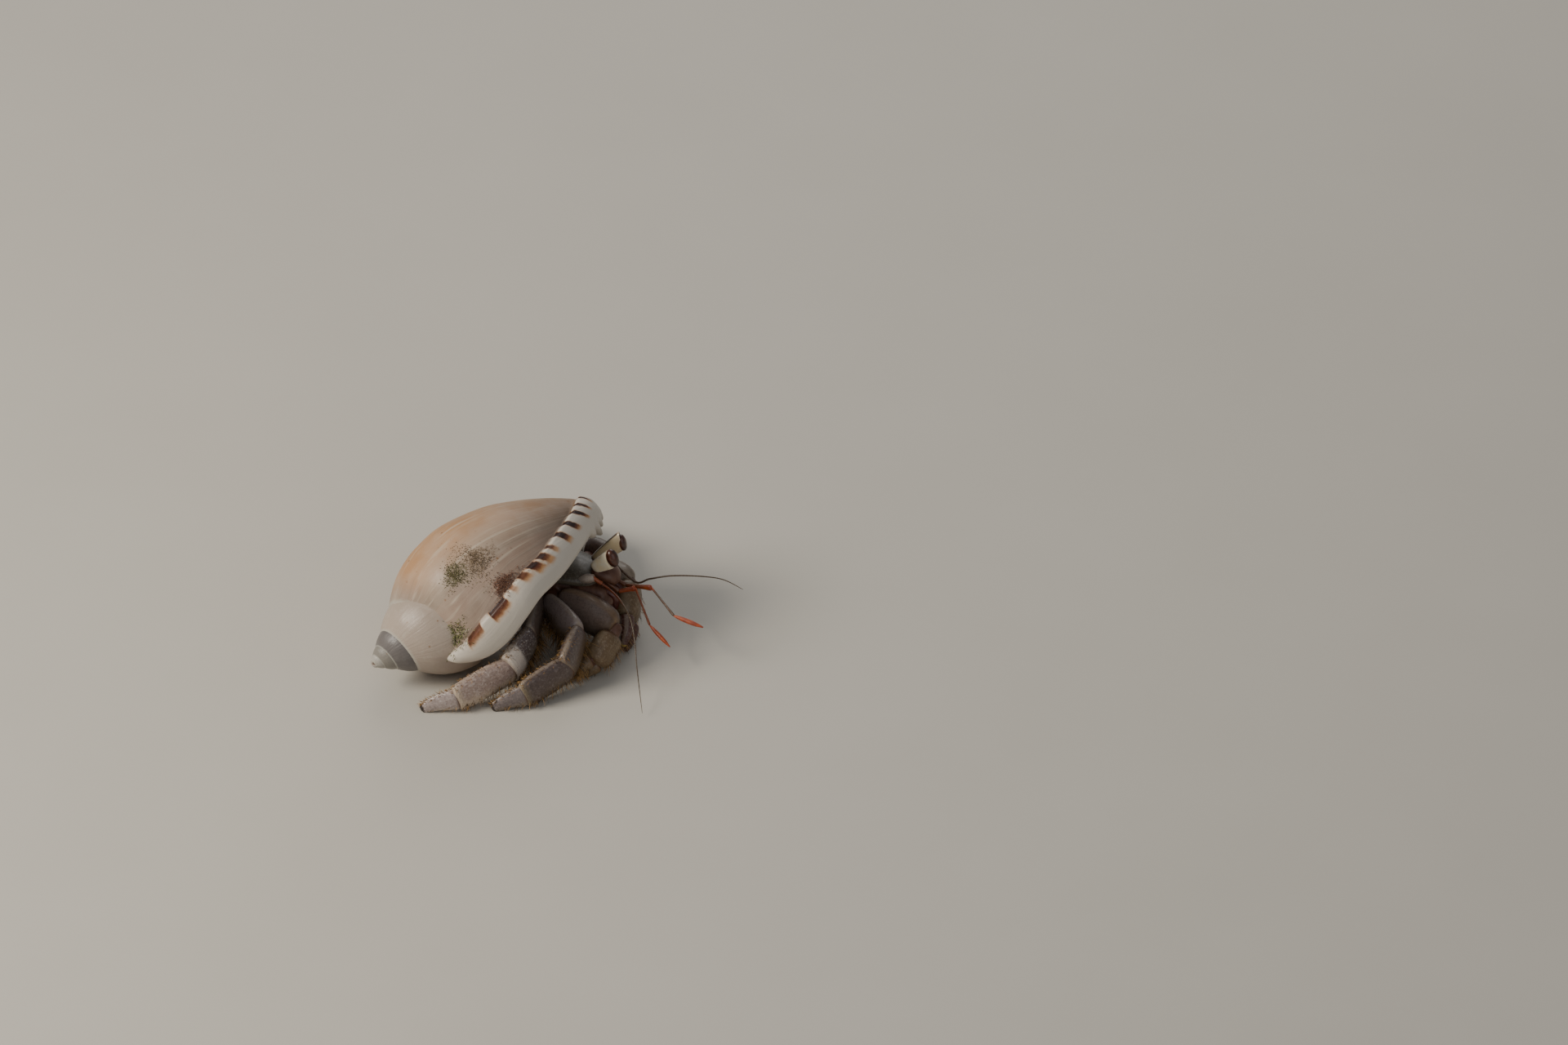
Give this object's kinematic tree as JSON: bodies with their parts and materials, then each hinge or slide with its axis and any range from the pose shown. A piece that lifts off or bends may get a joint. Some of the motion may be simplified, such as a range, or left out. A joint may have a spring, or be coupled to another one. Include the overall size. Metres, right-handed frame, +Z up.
{
  "type": "land hermit crab in a bonnet shell",
  "caption": "Life-size land hermit crab in walking pose, half out of a glossy cream bonnet shell with a dark-barred lip; a still museum model.",
  "frame": {"origin": "middle of the footprint's bounding box, on the floor plane", "axes": "+X the way the crab faces, +Y its left side, +Z up"},
  "size_m": [0.0476, 0.0498, 0.0221],
  "materials": {
    "shell": "glossy cream porcelain-like shell with a pink and tan flush and dark-brown bars on the lip",
    "eye": "wet red-brown cornea",
    "eyestalk": "cream stalk with a dark edge line",
    "antennule": "bright orange, slightly wet",
    "antenna": "olive brown, finely ringed",
    "shield": "mottled grey-brown shield",
    "soft_body": "red-brown skin of the body and mouthparts",
    "claw": "lilac-grey and beige granular claws",
    "leg": "lilac-grey granular legs with golden bristles"
  },
  "bodies": {
    "root": {"shell": "shell", "shield": "shield", "thorax": "soft_body", "abdomen": "soft_body", "cornea_right": "eye", "eyestalk_right": "eyestalk", "antennule_right": "antennule", "antennule_right_flagellum": "antennule", "antenna_right": "antenna", "antenna_right_flagellum": "antenna", "maxilliped_right": "soft_body", "leg4_right": "leg", "cheliped_right_finger": "claw", "cheliped_right_palm": "claw", "cheliped_right_carpus": "claw", "cheliped_right_merus": "claw", "cornea_left": "eye", "eyestalk_left": "eyestalk", "antennule_left": "antennule", "antennule_left_flagellum": "antennule", "antenna_left": "antenna", "antenna_left_flagellum": "antenna", "maxilliped_left": "soft_body", "leg4_left": "leg", "cheliped_left_finger": "claw", "cheliped_left_palm": "claw", "cheliped_left_carpus": "claw", "cheliped_left_merus": "claw", "leg2_right_merus": "leg", "leg2_right_carpus": "leg", "leg2_right_propodus": "leg", "leg2_right_dactyl": "leg", "leg2_left_merus": "leg", "leg2_left_carpus": "leg", "leg2_left_propodus": "leg", "leg2_left_dactyl": "leg", "leg3_right_merus": "leg", "leg3_right_carpus": "leg", "leg3_right_propodus": "leg", "leg3_right_dactyl": "leg", "leg3_left_merus": "leg", "leg3_left_carpus": "leg", "leg3_left_propodus": "leg", "leg3_left_dactyl": "leg"}
  },
  "joints": []
}
